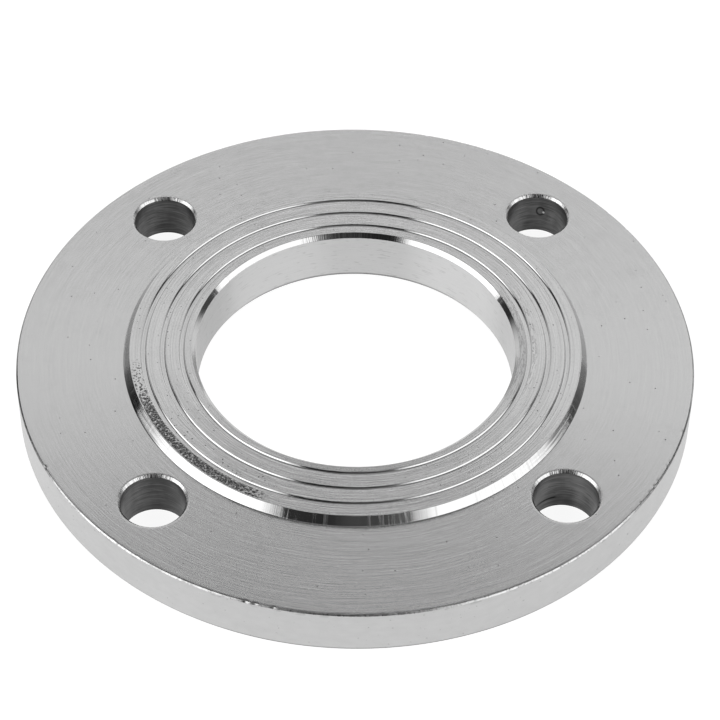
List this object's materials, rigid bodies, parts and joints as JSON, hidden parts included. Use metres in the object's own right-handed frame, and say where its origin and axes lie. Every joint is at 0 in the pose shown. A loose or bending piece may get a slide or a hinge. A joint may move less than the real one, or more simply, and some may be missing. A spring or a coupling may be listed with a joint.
{
  "type": "flat steel pipe flange",
  "caption": "Flat round steel flange with a wide plain bore, a low raised sealing face with fine ring grooves, and chamfered through holes for bolts.",
  "frame": {"origin": "centre of the flat back face, on the flange's axis", "axes": "+Z along the flange's axis, from the back face towards the raised sealing face; the bolt holes are at 45 degrees to +X and +Y"},
  "size_m": [0.195, 0.195, 0.0168],
  "materials": {
    "steel": "turned bare steel, satin on the faces and rim, bright on the bevels, with small pits on the raised face"
  },
  "bodies": {
    "root": {"flange": "steel"}
  },
  "joints": []
}
